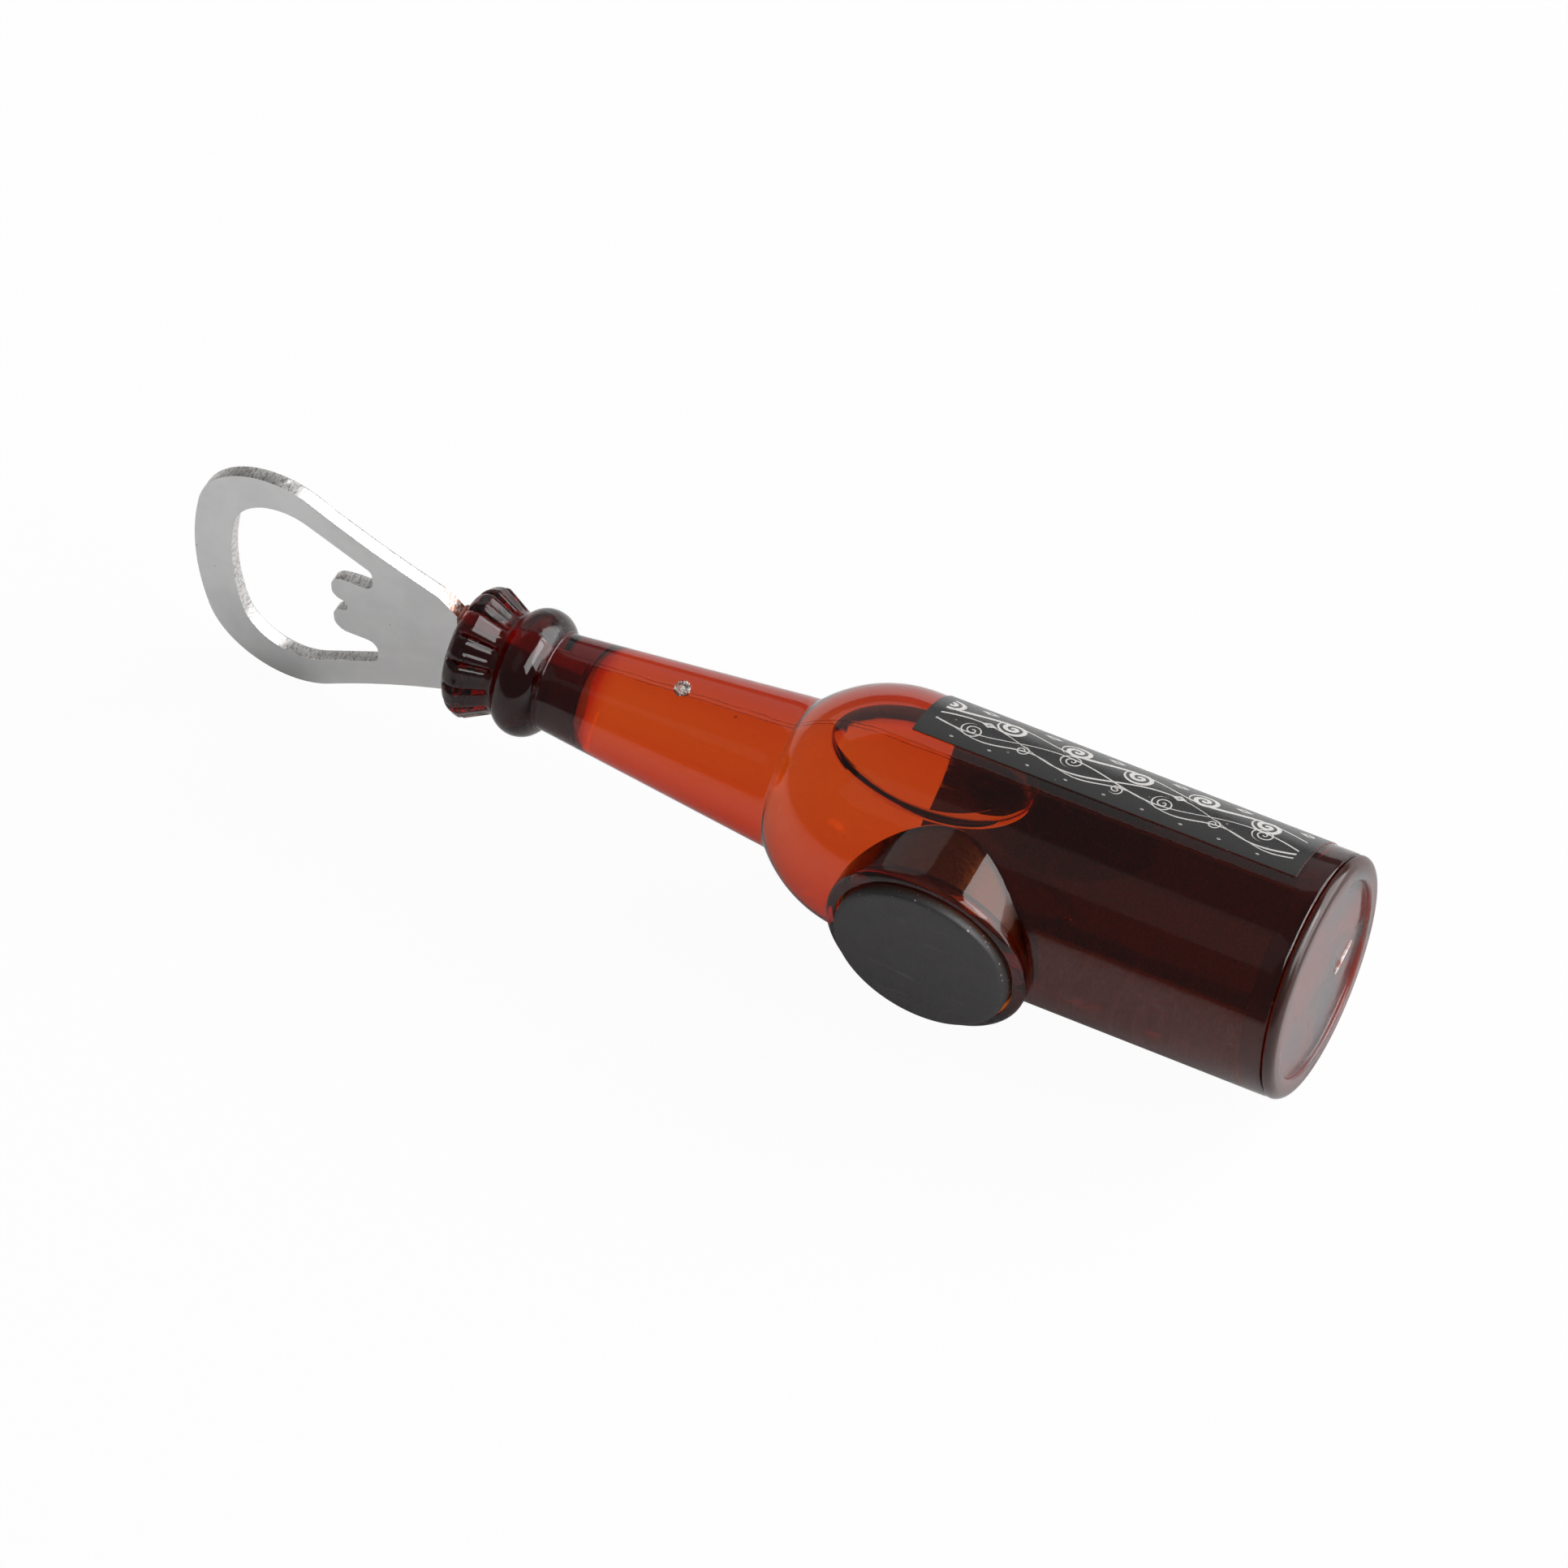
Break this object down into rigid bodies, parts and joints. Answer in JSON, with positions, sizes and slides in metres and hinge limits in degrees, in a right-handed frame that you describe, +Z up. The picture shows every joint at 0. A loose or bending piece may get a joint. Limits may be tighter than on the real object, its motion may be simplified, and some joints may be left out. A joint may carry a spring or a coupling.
{
  "type": "bottle opener",
  "caption": "Fridge-magnet bottle opener: a small filled amber bottle with a dark label, a round magnet on its side and a steel opener ring glued into its capped neck.",
  "frame": {"origin": "centre of the magnet's outer face", "axes": "-Y out of the magnet's face, +X along the bottle towards its base, +Z up across the opener ring's width"},
  "size_m": [0.1186, 0.0267, 0.0292],
  "materials": {
    "amber_plastic": "clear amber-brown moulded plastic, glossy; bright orange where thin, nearly black where solid",
    "plug_plastic": "the same amber-brown plastic, glossy, with a moulding gate mark in its recess",
    "clear_liquid": "clear colourless liquid with one air bubble",
    "label_print": "matte black printed film with a thin pale ornament",
    "ferrite": "dark grey sintered ferrite, matte face with a brighter worn edge",
    "clear_glue": "slightly amber-tinted set glue, glossy",
    "nickel_steel": "satin nickel-plated steel, smooth faces and bright rough sheared edges"
  },
  "bodies": {
    "root": {"bottle_shell": "amber_plastic", "base_plug": "plug_plastic", "liquid_filling": "clear_liquid", "paper_label": "label_print", "magnet_disc": "ferrite", "magnet_glue": "clear_glue", "opener_blade": "nickel_steel", "tang_glue": "clear_glue"}
  },
  "joints": []
}
